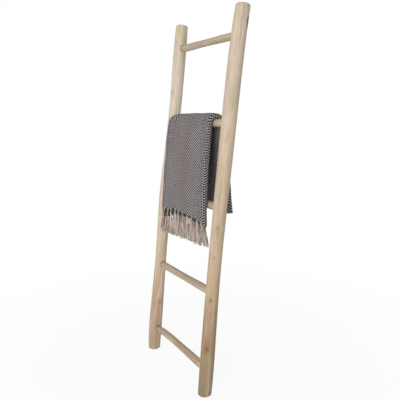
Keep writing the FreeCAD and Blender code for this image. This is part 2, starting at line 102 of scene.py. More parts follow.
class Nodes:
    """Short calls that build one material's node tree."""

    def __init__(self, name):
        self.material = bpy.data.materials.new(name)
        self.material.use_nodes = True
        self.tree = self.material.node_tree
        self.tree.nodes.clear()
        self.shader = self.tree.nodes.new("ShaderNodeBsdfPrincipled")
        self.output = self.tree.nodes.new("ShaderNodeOutputMaterial")
        self.tree.links.new(self.shader.outputs[0], self.output.inputs["Surface"])

    def feed(self, socket, value):
        if isinstance(value, bpy.types.NodeSocket):
            self.tree.links.new(value, socket)
        else:
            socket.default_value = value

    def math(self, operation, first, second=0.0, clamp=False):
        node = self.tree.nodes.new("ShaderNodeMath")
        node.operation = operation
        node.use_clamp = clamp
        self.feed(node.inputs[0], first)
        self.feed(node.inputs[1], second)
        return node.outputs[0]

    def plus(self, first, second, clamp=False):
        return self.math("ADD", first, second, clamp)

    def minus(self, first, second):
        return self.math("SUBTRACT", first, second)

    def times(self, first, second):
        return self.math("MULTIPLY", first, second)

    def over(self, first, second):
        return self.math("DIVIDE", first, second)

    def hypotenuse(self, x, y):
        return self.math("SQRT", self.plus(self.times(x, x), self.times(y, y)))

    def vector_math(self, operation, first, second=(0.0, 0.0, 0.0), output=0):
        node = self.tree.nodes.new("ShaderNodeVectorMath")
        node.operation = operation
        self.feed(node.inputs[0], first)
        self.feed(node.inputs[1], second)
        return node.outputs[output]

    def length(self, vector):
        return self.vector_math("LENGTH", vector, output=1)

    def coordinates(self, output="Object"):
        return self.tree.nodes.new("ShaderNodeTexCoord").outputs[output]

    def turned(self, vector, turn):
        node = self.tree.nodes.new("ShaderNodeMapping")
        self.feed(node.inputs["Vector"], vector)
        node.inputs["Rotation"].default_value = turn
        return node.outputs[0]

    def scaled(self, vector, scale, place=(0, 0, 0)):
        node = self.tree.nodes.new("ShaderNodeMapping")
        self.feed(node.inputs["Vector"], vector)
        node.inputs["Scale"].default_value = scale
        node.inputs["Location"].default_value = place
        return node.outputs[0]

    def axes(self, vector):
        node = self.tree.nodes.new("ShaderNodeSeparateXYZ")
        self.feed(node.inputs[0], vector)
        return node.outputs[0], node.outputs[1], node.outputs[2]

    def joined(self, x, y, z):
        node = self.tree.nodes.new("ShaderNodeCombineXYZ")
        for socket, value in zip(node.inputs, (x, y, z)):
            self.feed(socket, value)
        return node.outputs[0]

    def noise(self, vector, scale, detail=3.0, roughness=0.55):
        node = self.tree.nodes.new("ShaderNodeTexNoise")
        self.feed(node.inputs["Vector"], vector)
        node.inputs["Scale"].default_value = scale
        node.inputs["Detail"].default_value = detail
        node.inputs["Roughness"].default_value = roughness
        return node.outputs["Fac"]

    def grain(self, vector, across, along, apart=(0, 0, 0), detail=3.0, roughness=0.55):
        """Noise drawn out along Z: across and along are its cells per metre, and apart shifts the pattern."""
        return self.noise(self.scaled(vector, (across, across, along), apart), 1.0, detail, roughness)

    def ramp(self, factor, stops, smooth=True):
        """A ramp through (place, value) stops, each value a number or a colour."""
        node = self.tree.nodes.new("ShaderNodeValToRGB")
        node.color_ramp.interpolation = "EASE" if smooth else "LINEAR"
        self.feed(node.inputs["Fac"], factor)
        elements = node.color_ramp.elements
        while len(elements) < len(stops):
            elements.new(0.5)
        for element, (place, value) in zip(elements, stops):
            element.position = place
            element.color = (value, value, value, 1.0) if isinstance(value, (int, float)) else (*value, 1.0)
        return node.outputs["Color"]

    def mix(self, factor, first, second, blend="MIX"):
        node = self.tree.nodes.new("ShaderNodeMix")
        node.data_type = "RGBA"
        node.blend_type = blend
        colours = [socket for socket in node.inputs if socket.type == "RGBA"]
        self.feed(node.inputs[0], factor)
        for socket, value in zip(colours, (first, second)):
            plain = isinstance(value, tuple) and len(value) == 3
            self.feed(socket, (*value, 1.0) if plain else value)
        return [socket for socket in node.outputs if socket.type == "RGBA"][0]

    def tinted(self, colour, pattern, start, full, strength, tint):
        """A colour with a tint over it: none where the pattern is at start or less, strength from full on."""
        return self.mix(self.ramp(pattern, [(start, 0.0), (full, strength)]), colour, tint)

    def bump(self, height, distance, strength=1.0, under=None):
        node = self.tree.nodes.new("ShaderNodeBump")
        node.inputs["Strength"].default_value = strength
        node.inputs["Distance"].default_value = distance
        self.feed(node.inputs["Height"], height)
        if under is not None:
            self.feed(node.inputs["Normal"], under)
        return node.outputs[0]

    def finish(self, colour, roughness, normal=None, **plain):
        self.feed(self.shader.inputs["Base Color"], colour)
        self.feed(self.shader.inputs["Roughness"], roughness)
        if normal is not None:
            self.feed(self.shader.inputs["Normal"], normal)
        for name, value in plain.items():
            self.shader.inputs[name.replace("_", " ")].default_value = value
        return self.material


def paint(obj, material):
    """Give a piece one material in place of those it has."""
    obj.data.materials.clear()
    obj.data.materials.append(material)


# ---------------------------------------------------------------- wood

# Linear colours: the pale weathered wood high up, the warmer wood low down, what marks it, and painted shade
# for the sockets.
PALE_WOOD = (0.655, 0.530, 0.405)
WARM_WOOD = (0.370, 0.264, 0.171)
GREY_STREAK = (0.400, 0.365, 0.290)
ROSE_STREAK = (0.640, 0.480, 0.430)
OLIVE_STREAK = (0.520, 0.440, 0.270)
RUST_STREAK = (0.420, 0.230, 0.125)
DARK_GRAIN = (0.215, 0.150, 0.092)
KNOT_HEART = (0.150, 0.075, 0.035)
BARK = (0.050, 0.038, 0.028)
# Painted shade: the dark in the gap round each rung's socket.
SOCKET_SHADE = (0.085, 0.055, 0.032)
END_GRAIN = (0.610, 0.540, 0.420)
FRESH_CUT = (0.680, 0.520, 0.320)

# How warm the wood is at each share of the ladder's height.
WARMTH = [(0.0, 1.0), (0.2, 0.88), (0.42, 0.4), (0.75, 0.02)]

# How each pole's tone drifts with height: (share of the ladder's height, colour it is multiplied by). All
# tones are then raised by TONE_GAIN, so that those in the ramps can stay at 1 or below.
TONE_GAIN = 1.25
POLE_TONES = {
    "left_rail": [
        (0.0, (0.84, 0.86, 0.86)),
        (0.10, (0.96, 0.97, 0.99)),
        (0.22, (1.00, 1.00, 1.00)),
        (0.40, (0.93, 0.97, 1.00)),
        (0.84, (0.87, 0.91, 1.00)),
        (0.95, (0.75, 0.80, 0.79)),
        (1.0, (0.80, 0.82, 0.80)),
    ],
    "right_rail": [
        (0.0, (0.58, 0.61, 0.56)),
        (0.06, (0.63, 0.65, 0.59)),
        (0.15, (0.68, 0.63, 0.53)),
        (0.25, (0.88, 0.85, 0.79)),
        (0.40, (0.84, 0.82, 0.79)),
        (0.60, (0.79, 0.77, 0.75)),
        (0.82, (0.72, 0.74, 0.75)),
        (1.0, (0.78, 0.78, 0.77)),
    ],
}

# Each rung's tone, and how far it is darkened all over towards DARK_GRAIN.
RUNG_TONES = {
    1: (0.80, 0.79, 0.78),
    2: (0.80, 0.80, 0.80),
    3: (0.80, 0.80, 0.80),
    4: (0.83, 0.86, 0.86),
    5: (0.92, 0.97, 1.00),
}
RUNG_DARKNESS = {1: 0.35, 2: 0.20, 3: 0.16, 4: 0.08, 5: 0.03}

# Knots by pole: how far up the piece's box, the way each faces seen from above in degrees (0 is +X and
# -90 the front), its radius, and its strength from 0, a faint stain, to 1.
POLE_KNOTS = {
    "left_rail": [
        (0.804, -78, 0.0050, 0.55),
        (0.905, 2, 0.0075, 0.05),
        (0.229, -99, 0.0050, 0.5),
        (0.155, -6, 0.0062, 0.7),
        (0.560, -120, 0.0045, 0.8),
        (0.620, 100, 0.0055, 0.9),
        (0.470, -160, 0.0045, 0.7),
        (0.120, 60, 0.0050, 0.8),
        (0.750, 175, 0.0060, 0.7),
        (0.340, 125, 0.0050, 1.0),
    ],
    "right_rail": [
        (0.850, -65, 0.0068, 0.12),
        (0.674, -39, 0.0050, 0.18),
        (0.532, -51, 0.0042, 0.45),
        (0.451, -35, 0.0045, 0.75),
        (0.373, -49, 0.0042, 0.55),
        (0.261, -41, 0.0052, 0.9),
        (0.131, -43, 0.0066, 1.0),
        (0.700, 150, 0.0060, 0.8),
        (0.380, 170, 0.0050, 0.9),
        (0.580, 95, 0.0055, 0.7),
    ],
}
# Scraps of bark by pole: how far up, the way each faces, and its radius.
BARK_MARKS = {"left_rail": [], "right_rail": [(0.958, 27, 0.0066), (0.948, 31, 0.0058)]}
RUNG_KNOTS = 3
RUNG_KNOT_STRENGTH = 0.7

# A mark's width as a share of its length along the grain.
KNOT_NARROWNESS = 0.6
BARK_NARROWNESS = 0.42

# Metres: how far the grain wanders, how deep the relief is, and how far apart the rings are and how uneven.
GRAIN_WOBBLE = 0.010
DENT_DEPTH = 0.006
FIBRE_DEPTH = 0.0016
RING_STEP = 0.0021
RING_UNEVENNESS = 0.012

# A sawn end darkens from RIM_START outwards, at RIM_SHARPNESS a metre.
RIM_START = 0.0225
RIM_SHARPNESS = 300.0

# Metres: how far above the rung the painted shade in a socket's gap is centred, how far outside the rung it
# lies, how uneven it is, and how wide.
MOUTH_RISE = 0.0022
MOUTH_CLEARANCE = 0.0005
MOUTH_SHADE_UNEVENNESS = 0.0030
MOUTH_SHADE_WIDTH = 0.008

# Metres: how long a rung's freshly cut end is, and over how much of it the colour changes.
WHITTLED_LENGTH = 0.042
WHITTLED_EDGE = 0.008


def between(first, second, share):
    return tuple(a + (b - a) * share for a, b in zip(first, second))


def from_mark(n, place, point, axis_turn, narrowness):
    """The distance from a mark's middle, where the mark is an oval drawn out along the grain."""
    offset = n.turned(n.vector_math("SUBTRACT", place, tuple(point)), axis_turn)
    return n.length(n.scaled(offset, (1, 1, narrowness)))


def knots_in(n, place, along, axis_turn, knots):
    """Each knot's (mark, strength), the strongest at each place, and the grain bent round all of them."""
    marks, strongest = [], 0.0
    for point, radius, strength in knots:
        distance = from_mark(n, place, point, axis_turn, KNOT_NARROWNESS)
        ragged = n.plus(distance, n.times(n.noise(along, 160.0), radius * 0.8))
        reach = n.over(ragged, radius * 3.0)
        mark = n.ramp(reach, [(0.0, 1.0), (0.28, 0.85), (0.62, 0.22), (1.0, 0.0)])
        strongest = n.math("MAXIMUM", strongest, n.times(mark, strength))
        marks.append((mark, strength))
        push = n.times(n.times(mark, mark), radius * 0.9)
        along = n.vector_math("ADD", along, n.joined(push, push, 0.0))
    return marks, strongest, along


def bark_on(n, place, along, axis_turn, bark):
    """1 on the scraps of bark that are left, and 0 elsewhere."""
    left = 0.0
    for point, radius in bark:
        distance = from_mark(n, place, point, axis_turn, BARK_NARROWNESS)
        ragged = n.plus(distance, n.times(n.noise(along, 220.0), radius * 0.9))
        mark = n.ramp(n.over(ragged, radius * 2.0), [(0.0, 1.0), (0.62, 0.95), (0.8, 0.0)])
        left = n.math("MAXIMUM", left, mark)
    return left


def sawn_end(n, place, straight, axis_turn, seed):
    """Where the wood is cut across its grain, and its colour there: rings, cracks and a dark rim."""
    facing = n.axes(n.turned(n.coordinates("Normal"), axis_turn))[2]
    end = n.ramp(n.math("ABSOLUTE", facing), [(0.72, 0.0), (0.92, 1.0)])
    x, y, _ = n.axes(straight)
    radius = n.hypotenuse(x, y)
    uneven = n.plus(radius, n.times(n.noise(place, 30.0), RING_UNEVENNESS))
    rings = n.math("SINE", n.times(uneven, 2 * math.pi / RING_STEP))
    round_axis = n.times(n.math("ARCTAN2", y, x), 2.2)
    cracks = n.noise(n.joined(round_axis, n.times(uneven, 8.0), seed), 3.0, 2.0)
    colour = n.tinted(END_GRAIN, rings, 0.0, 1.0, 0.32, DARK_GRAIN)
    colour = n.tinted(colour, cracks, 0.66, 0.72, 0.8, KNOT_HEART)
    rim = n.times(n.minus(radius, RIM_START), RIM_SHARPNESS)
    return end, n.tinted(colour, rim, 0.0, 1.0, 0.55, DARK_GRAIN)


def shade_mouths(n, colour, place, mouths, inner):
    """The colour with painted shade in the broken gap round each socket's mouth, strongest above the rung."""
    _, y, z = n.axes(place)
    side = n.times(n.axes(n.coordinates("Normal"))[0], float(inner))
    facing_in = n.ramp(side, [(0.15, 0.0), (0.45, 1.0)])
    uneven_shade = n.times(n.noise(place, 140.0), MOUTH_SHADE_UNEVENNESS)
    broken = n.ramp(n.noise(place, 55.0, 1.0), [(0.36, 0.38), (0.62, 1.0)])
    for mouth_y, mouth_z, reach in mouths:
        above = n.minus(z, mouth_z)
        distance = n.hypotenuse(n.minus(y, mouth_y), above)
        past = n.minus(n.plus(distance, uneven_shade), reach)
        past = n.over(n.plus(past, MOUTH_SHADE_WIDTH / 2), MOUTH_SHADE_WIDTH)
        dark = n.ramp(past, [(0.25, 0.85), (0.62, 0.30), (1.0, 0.0)])
        upper = n.plus(n.over(above, 2.4 * reach), 0.72, clamp=True)
        dark = n.times(dark, n.times(upper, broken))
        colour = n.mix(n.times(dark, facing_in), colour, SOCKET_SHADE)
    return colour


def wood(name, axis_point, axis_turn, tones, seed, knots,
         darkness=0.0, bark=(), mouths=(), inner=1, whittled=None):
    """Peeled wood whose grain runs along a line through axis_point, and which is paler higher up.

    axis_turn turns that line onto Z. tones are the (share of the ladder's height, colour) its colour is
    multiplied by, and seed makes its grain its own. knots are (point, radius, strength) marks, in metres; a
    faint one is an olive stain with no heart. bark marks are (point, radius). mouths are the (y, z, radius)
    of the sockets in a pole's inner side, which faces +X where inner is 1; shade is painted round them.
    Further than whittled from axis_point, along the grain, the wood is freshly cut.
    """
    n = Nodes(name)
    place = n.coordinates()
    straight = n.turned(n.vector_math("SUBTRACT", place, tuple(axis_point)), axis_turn)
    knot_marks, knot_mark, along = knots_in(n, place, straight, axis_turn, knots)
    bark_mark = bark_on(n, place, along, axis_turn, bark)

    shifted = n.vector_math("ADD", along, (seed, seed * 1.7, seed * 2.3))
    wobble = n.times(n.minus(n.noise(shifted, 3.0), 0.5), GRAIN_WOBBLE)
    bent = n.vector_math("ADD", shifted, n.joined(wobble, wobble, 0.0))
    patches = n.grain(shifted, across=14, along=5, detail=2.0)
    dents = n.grain(shifted, across=26, along=9, detail=2.0)
    streaks = n.grain(bent, across=130, along=5, detail=4.0, roughness=0.6)
    rose = n.grain(bent, across=55, along=3.2, apart=(3, 1, 2))
    olive = n.grain(bent, across=48, along=5.5, apart=(7, 4, 9))
    rust = n.grain(bent, across=60, along=16, apart=(2, 8, 4))
    fibres = n.grain(bent, across=520, along=14, detail=4.0, roughness=0.65)
    flecks = n.grain(bent, across=420, along=38, apart=(5, 5, 5), detail=2.0, roughness=0.5)

    height = n.over(n.axes(place)[2], LADDER_HEIGHT)
    drift = n.times(n.minus(patches, 0.5), 0.7)
    warm = n.plus(n.ramp(height, WARMTH, smooth=False), drift, clamp=True)
    colour = n.mix(warm, PALE_WOOD, WARM_WOOD)
    colour = n.mix(n.times(n.ramp(rust, [(0.52, 0.0), (0.70, 0.8)]), warm), colour, RUST_STREAK)
    colour = n.tinted(colour, rose, 0.50, 0.66, 0.62, ROSE_STREAK)
    colour = n.tinted(colour, olive, 0.53, 0.68, 0.70, OLIVE_STREAK)
    colour = n.tinted(colour, streaks, 0.50, 0.68, 0.60, GREY_STREAK)
    tone = n.vector_math("MULTIPLY", n.ramp(height, tones, smooth=False), (TONE_GAIN,) * 3)
    colour = n.mix(1.0, colour, tone, blend="MULTIPLY")
    colour = n.mix(n.ramp(fibres, [(0.30, 0.45), (0.52, 0.0)]), colour, DARK_GRAIN)
    colour = n.tinted(colour, flecks, 0.64, 0.76, 0.55, DARK_GRAIN)
    for mark, strength in knot_marks:
        tint = between(OLIVE_STREAK, KNOT_HEART, strength)
        colour = n.mix(n.times(mark, 0.45 + 0.35 * strength), colour, tint)
    colour = n.mix(darkness, colour, DARK_GRAIN)
    if whittled is not None:
        uneven = n.times(n.noise(place, 120.0, 1.0), WHITTLED_EDGE)
        from_middle = n.plus(n.math("ABSOLUTE", n.axes(straight)[2]), uneven)
        past = n.over(n.minus(from_middle, whittled), WHITTLED_EDGE)
        colour = n.tinted(colour, past, 0.2, 0.9, 0.55, FRESH_CUT)
    end, end_colour = sawn_end(n, place, straight, axis_turn, seed)
    colour = n.mix(end, colour, end_colour)
    colour = n.mix(bark_mark, colour, BARK)
    # Painted shade in the gap round each socket's mouth.
    if mouths:
        colour = shade_mouths(n, colour, place, mouths, inner)

    roughness = n.ramp(fibres, [(0.2, 0.82), (0.8, 0.60)])
    relief = n.plus(n.times(fibres, 0.35), n.times(streaks, 0.65))
    relief = n.minus(relief, n.times(knot_mark, 0.5))
    relief = n.minus(relief, n.times(bark_mark, 2.0))
    normal = n.bump(relief, FIBRE_DEPTH, 0.8, under=n.bump(dents, DENT_DEPTH, 0.55))
    return n.finish(colour, roughness, normal, IOR=1.5, Specular_IOR_Level=0.35)


# Metres: how near a height a pole's points are taken, how far in from its end a rung's are, and from how
# far outside the pole's surface is looked for.
POLE_SLICE = 0.12
RUNG_SLICE = (0.030, 0.060)
LOOK_FROM = 0.2


def surface_point(node, share, degrees):
    """A point on a pole's surface: share up its box, on the side that faces degrees round from +X."""
    low, high = corners_of(node)
    z = low.z + (high.z - low.z) * share
    obj = frame["nodes"][node]
    near = [v.co for v in obj.data.vertices if abs(v.co.z - z) < POLE_SLICE]
    inside = sum(near, Vector()) / len(near)
    inside.y += math.tan(LEAN) * (z - inside.z)
    inside.z = z
    outward = Vector((math.cos(math.radians(degrees)), math.sin(math.radians(degrees)), 0.0))
    _, place, _, _ = obj.ray_cast(inside + outward * LOOK_FROM, -outward)
    return place


def rung_end(number, side):
    """The middle and the radius of a rung near one end, from its own points: side is -1 or 1."""
    node = f"rung_{number}"
    low, high = corners_of(node)
    edge = high.x if side > 0 else low.x
    start, end = RUNG_SLICE
    near = [v.co for v in frame["nodes"][node].data.vertices if start < abs(v.co.x - edge) < end]
    middle = sum(near, Vector()) / len(near)
    radius = max(math.hypot(co.y - middle.y, co.z - middle.z) for co in near)
    return middle, radius


def dress_pole(node, side):
    """Wood on a pole: side is -1 for the left one and 1 for the right one."""
    knots = [(surface_point(node, *spot[:2]), *spot[2:]) for spot in POLE_KNOTS[node]]
    bark = [(surface_point(node, *spot[:2]), *spot[2:]) for spot in BARK_MARKS[node]]
    mouths = []
    for number in RUNG_TONES:
        middle, radius = rung_end(number, side)
        mouths.append((middle.y, middle.z + MOUTH_RISE, radius + MOUTH_CLEARANCE))
    upright = (LEAN, 0.0, 0.0)
    paint(frame["nodes"][node], wood(
        f"{node}_wood", middle_of(node), upright, POLE_TONES[node], side * 3.1, knots,
        bark=bark, mouths=mouths, inner=-side,
    ))


def dress_rung(number):
    """Wood on a rung, with a few small knots."""
    node = f"rung_{number}"
    low, high = corners_of(node)
    middle = middle_of(node)
    rng = random.Random(number)
    knots = []
    for _ in range(RUNG_KNOTS):
        angle = rng.uniform(-2.6, 0.6)
        size = rng.uniform(0.0025, 0.0045)
        side = Vector((0.0, math.cos(angle), math.sin(angle))) * (high.z - low.z) * 0.46
        along = Vector((rng.uniform(-0.17, 0.17), 0, 0))
        knots.append((middle + side + along, size, RUNG_KNOT_STRENGTH))
    level = (0.0, -math.pi / 2, 0.0)
    tones = [(0.0, RUNG_TONES[number]), (1.0, RUNG_TONES[number])]
    paint(frame["nodes"][node], wood(
        f"{node}_wood", middle, level, tones, number * 1.7, knots,
        darkness=RUNG_DARKNESS[number], whittled=(high.x - low.x) / 2 - WHITTLED_LENGTH,
    ))


# ---------------------------------------------------------------- steel

DULL_ZINC = (0.50, 0.49, 0.45)
BRIGHT_ZINC = (0.62, 0.60, 0.54)


def steel():
    """Zinc-plated screw steel with fine turning marks."""
    n = Nodes("screw_steel")
    place = n.coordinates()
    spots = n.noise(place, 700.0, 3.0)
    turned = n.noise(n.scaled(place, (900, 200, 900)), 1.0, 2.0)
    colour = n.tinted(DULL_ZINC, spots, 0.35, 0.75, 1.0, BRIGHT_ZINC)
    roughness = n.ramp(spots, [(0.3, 0.30), (0.7, 0.48)])
    return n.finish(colour, roughness, n.bump(turned, 0.0002, 0.5), Metallic=1.0)


# ---------------------------------------------------------------- throw: cloth folded over rung 2

# The cloth lies in pairs of layers, because it is folded in half along its length first.
PAIRS = 4
LAYERS = 2 * PAIRS
STACK = 0.024
PAIR_STEP = STACK / PAIRS
LAYER_STEP = STACK / LAYERS
CLOTH_THICKNESS = 0.0022
RUNG_GAP = 0.0012

# The front rests along the ladder, and the back hangs FLARE away from plumb.
FLARE = math.radians(5.3)
BACK_LEVEL = Vector((0, math.cos(FLARE), math.sin(FLARE)))
BACK_DOWN = Vector((0, math.sin(FLARE), -math.cos(FLARE)))
BACK_DROP = 0.366

low_corner, high_corner = corners_of("throw")
rung_low, rung_high = corners_of("rung_2")
FOLDED_WIDTH = high_corner.x - low_corner.x
RUNG_CENTRE = Vector((0.0, (rung_low.y + rung_high.y) / 2, (rung_low.z + rung_high.z) / 2))
INNER_RADIUS = (rung_high.y - rung_low.y) / 2 + RUNG_GAP
MEAN_RADIUS = INNER_RADIUS + STACK / 2
FRONT_ANGLE = math.pi - LEAN
FRONT_DROP = (RUNG_CENTRE.z - low_corner.z) / math.cos(LEAN)
CROWN_LENGTH = (FRONT_ANGLE - FLARE) * MEAN_RADIUS
HALF_LENGTH = FRONT_DROP + CROWN_LENGTH + BACK_DROP

# How much higher than the stack's own length the front's hem hangs, by share of the width.
HEM_LINE = [
    (0.0, -0.004), (0.12, -0.001), (0.32, 0.011), (0.45, 0.0075), (0.65, 0.003), (0.8, -0.002), (1.0, -0.010),
]

# The mesh's steps: one across the cloth, the counts along the front, crown and back, and those in its folds.
ACROSS_STEP = 0.0075
ALONG_COUNTS = (46, 20, 42)
TIGHT_FOLD_STEPS = 6
WIDE_FOLD_STEPS = 14
TURN_STEPS = 6

# How far short of the throw's left side the cloth's inner and outer edges stop.
INNER_EDGE_INSET = 0.004
OUTER_EDGE_INSET = 0.0015

# How far the stack drifts to the right at its front hem and at its back fold, and how far its front swells.
HEM_DRIFT = 0.014
BACK_DRIFT = 0.012
FRONT_PUFF = 0.0015
BELLY = 0.0065

# How far its two sides sink over the rung, and by what share of its width it splays at the hem.
EDGE_SINK = 0.0045
SPLAY = 0.040


def across_share(x):
    """How far across the folded throw x is: 0 at its left side and 1 at its right."""
    return (x - low_corner.x) / FOLDED_WIDTH


def across_path():
    """Stations of the cloth's middle line where it is folded across: (cloth width so far, x, depth, turn).

    depth runs from 0 at the rung to STACK outside, and turn is the direction of travel in radians,
    0 to the right. The cloth runs out and back in four widths: a tight fold at the right, one at the
    left, and a wide one at the right that wraps the first.
    """
    left, right = low_corner.x, high_corner.x
    right_bend = right - STACK / 2
    left_bend = left + STACK / 4
    tight, wide = PAIR_STEP / 2, PAIR_STEP * 1.5
    levels = [STACK - PAIR_STEP * (0.5 + k) for k in range(PAIRS)]
    stations = []
    used = 0.0

    def straight(start, end, depth):
        nonlocal used
        length = abs(end - start)
        count = max(2, round(length / ACROSS_STEP))
        turn = 0.0 if end > start else math.pi
        for step in range(count):
            share = step / count
            stations.append((used + length * share, start + (end - start) * share, depth, turn))
        used += length

    def fold(x, depth, radius, start_turn, end_turn, count):
        """A half turn about (x, depth); the direction of travel goes from start_turn to end_turn."""
        nonlocal used
        length = math.pi * radius
        side = 1.0 if end_turn > start_turn else -1.0
        for step in range(count):
            turn = start_turn + (end_turn - start_turn) * step / count
            stations.append((
                used + length * step / count,
                x + side * radius * math.sin(turn),
                depth - side * radius * math.cos(turn),
                turn,
            ))
        used += length

    straight(left + INNER_EDGE_INSET, right_bend, levels[1])
    fold(right_bend, levels[1] - tight, tight, 0.0, -math.pi, TIGHT_FOLD_STEPS)
    straight(right_bend, left_bend, levels[2])
    fold(left_bend, levels[2] - tight, tight, -math.pi, 0.0, TIGHT_FOLD_STEPS)
    straight(left_bend, right_bend, levels[3])
    fold(right_bend, levels[3] + wide, wide, 0.0, math.pi, WIDE_FOLD_STEPS)
    straight(right_bend, left + OUTER_EDGE_INSET, levels[0])
    stations.append((used, left + OUTER_EDGE_INSET, levels[0], math.pi))
    return stations, used


def along_path():
    """Stations along the cloth: (share of the way from the front hem to the back fold, side of the pair)."""
    shares = []
    start = 0.0
    for length, count in zip((FRONT_DROP, CROWN_LENGTH, BACK_DROP), ALONG_COUNTS):
        shares += [(start + length * step / count) / HALF_LENGTH for step in range(count)]
        start += length
    out = [(share, 1.0) for share in shares]
    turn = [(1.0, math.cos(math.pi * step / TURN_STEPS)) for step in range(TURN_STEPS + 1)]
    return out + turn + [(share, -1.0) for share in reversed(shares)]


def soft(value, size, seed):
    """Smooth noise of a point on the folded stack, from -1 to 1."""
    return noise.noise(Vector((value[0] / size, value[1] / size, seed)))


def skew(along):
    """How far the stack drifts to the right at a length along it: most at the hem and the back fold."""
    down = max(0.0, FRONT_DROP - along) / FRONT_DROP
    behind = max(0.0, along - FRONT_DROP - CROWN_LENGTH) / BACK_DROP
    front = -0.004 * math.sin(math.pi * down) + HEM_DRIFT * down ** 2.2
    return front - 0.004 * (1 - down) ** 2 + BACK_DRIFT * behind ** 1.3


def stack_point(x, depth, share):
    """A point of the folded stack in the model's frame.

    share runs from 0 at the front hem to 1 at the back fold, depth from 0 at the rung to STACK outside.
    """
    spread = depth / STACK
    along = share * HALF_LENGTH
    across = across_share(x)
    edge = 2 * across - 1
    down = max(0.0, FRONT_DROP - along)

    # The front stands out in soft upright folds, a belly and small dents.
    front = min(1.0, down / 0.08)
    folds = 0.0016 * math.sin(across * 15.0 + 0.8) + 0.0012 * math.sin(across * 27.0 + along * 3.0)
    belly = BELLY * (1.0 - edge ** 2) * math.sin(math.pi * min(1.0, down / (1.3 * FRONT_DROP))) ** 0.7
    puff = (FRONT_PUFF + folds) * front * spread + belly * spread
    puff += 0.0018 * soft((x, along), 0.075, 1.0) * spread
    puff += 0.0007 * soft((x, along), 0.028, 5.0) * spread

    # Over the rung its two sides sink, and towards the hem they splay.
    crown = max(0.0, 1.0 - abs(along - FRONT_DROP - CROWN_LENGTH / 2) / (CROWN_LENGTH * 0.75))
    sink = EDGE_SINK * edge ** 4 * crown * spread
    radius = INNER_RADIUS + depth + puff - sink
    splay = SPLAY * (down / FRONT_DROP) ** 2.5 * (across - 0.5) * FOLDED_WIDTH
    moved = x + skew(along) + splay + 0.0022 * soft((along, depth * 9), 0.08, 9.0)
    centre = RUNG_CENTRE + Vector((moved, 0, 0))
    if along < FRONT_DROP:
        return centre - BACK * radius - UP * (FRONT_DROP - along)
    if along < FRONT_DROP + CROWN_LENGTH:
        angle = FRONT_ANGLE - (along - FRONT_DROP) / MEAN_RADIUS
        return centre + Vector((0, math.cos(angle) * radius, math.sin(angle) * radius))
    return centre + BACK_LEVEL * radius + BACK_DOWN * (along - FRONT_DROP - CROWN_LENGTH)


def lower_hem(x, depth):
    """How much lower an inner layer's hem hangs than the outermost one's: most at the left."""
    inner = min(1.0, max(0.0, (STACK - depth - 0.65 * LAYER_STEP) / (0.8 * LAYER_STEP)))
    return inner * max(0.012, 0.040 - 0.045 * across_share(x))


def hem_rise(across):
    """How much higher than the stack's own length the front's hem hangs, at a share of the width."""
    for (start, low), (end, high) in zip(HEM_LINE, HEM_LINE[1:]):
        if across <= end:
            share = max(0.0, (across - start) / (end - start))
            return low + (high - low) * (3 - 2 * share) * share * share
    return HEM_LINE[-1][1]


def hem_share(x, depth, side):
    """Where a layer's hem lies, as a share of the way along."""
    uneven = 0.002 * soft((x, depth * 40), 0.07, 20.0 + side)
    return (hem_rise(across_share(x)) - lower_hem(x, depth) + uneven) / HALF_LENGTH


def cloth_point(station, share, side):
    """The sheet's surface at one station across, side +1 or -1 being the two halves of its length."""
    _, x, depth, turn = station
    half = LAYER_STEP / 2 * side
    x -= math.sin(turn) * half
    depth += math.cos(turn) * half
    start = hem_share(x, depth, side)
    point = stack_point(x, depth, min(start + (1.0 - start) * share, 1.0))
    if share >= 1.0:
        # The turn at the bottom of the back hangs lower in its middle.
        point += BACK_DOWN * (LAYER_STEP / 2) * math.sqrt(max(0.0, 1.0 - side * side))
    return point


def add_quad(bm, uv, rows, corners, places):
    """A smooth face between four (row, column) corners, with each corner's place on the uv map."""
    face = bm.faces.new([rows[row][column] for row, column in corners])
    face.smooth = True
    for loop, place in zip(face.loops, places):
        loop[uv].uv = place


def make_cloth():
    """The throw's cloth: one sheet with its weave's coordinates, given the cloth's thickness."""
    across, width = across_path()
    along = along_path()
    rows_before_turn = (len(along) - TURN_STEPS - 1) // 2
    mesh = bpy.data.meshes.new("throw_cloth")
    bm = bmesh.new()
    uv = bm.loops.layers.uv.new("weave")
    rows, lengths = [], []
    for index, (share, side) in enumerate(along):
        rows.append([bm.verts.new(cloth_point(station, share, side)) for station in across])
        turned = index - rows_before_turn
        if turned < 0:
            lengths.append(share * HALF_LENGTH)
        elif turned <= TURN_STEPS:
            lengths.append(HALF_LENGTH + LAYER_STEP * turned * math.pi / (2 * TURN_STEPS))
        else:
            lengths.append(2 * HALF_LENGTH - share * HALF_LENGTH + LAYER_STEP * math.pi / 2)
    for j in range(len(rows) - 1):
        for i in range(len(across) - 1):
            corners = ((j, i), (j, i + 1), (j + 1, i + 1), (j + 1, i))
            add_quad(bm, uv, rows, corners, [(across[column][0], lengths[row]) for row, column in corners])
    bm.to_mesh(mesh)
    bm.free()
    cloth = bpy.data.objects.new("throw_cloth", mesh)
    scene.collection.objects.link(cloth)
    thick = cloth.modifiers.new("thickness", "SOLIDIFY")
    thick.thickness = CLOTH_THICKNESS
    thick.offset = 0.0
    thick.use_even_offset = True
    return cloth, across, (width, 2 * HALF_LENGTH)


# ---------------------------------------------------------------- the throw's weave

# Metres from thread to thread, how many threads a stripe, a bead and a column of the herringbone take up,
# and how far across the cloth the first column starts.
WARP_STEP = 0.0014
WEFT_STEP = 0.00124
TWILL_THREADS = 10.0
BEAD_THREADS = 8.0
COLUMN_THREADS = 50.0
COLUMN_START = 0.065

# Metres: the width of the borders along the front's edges and of the painted shade on the hidden ends, and
# the yarns' relief.
BORDER = 0.045
HEM_SHADE_WIDTH = 0.042
YARN_RELIEF = 0.0006
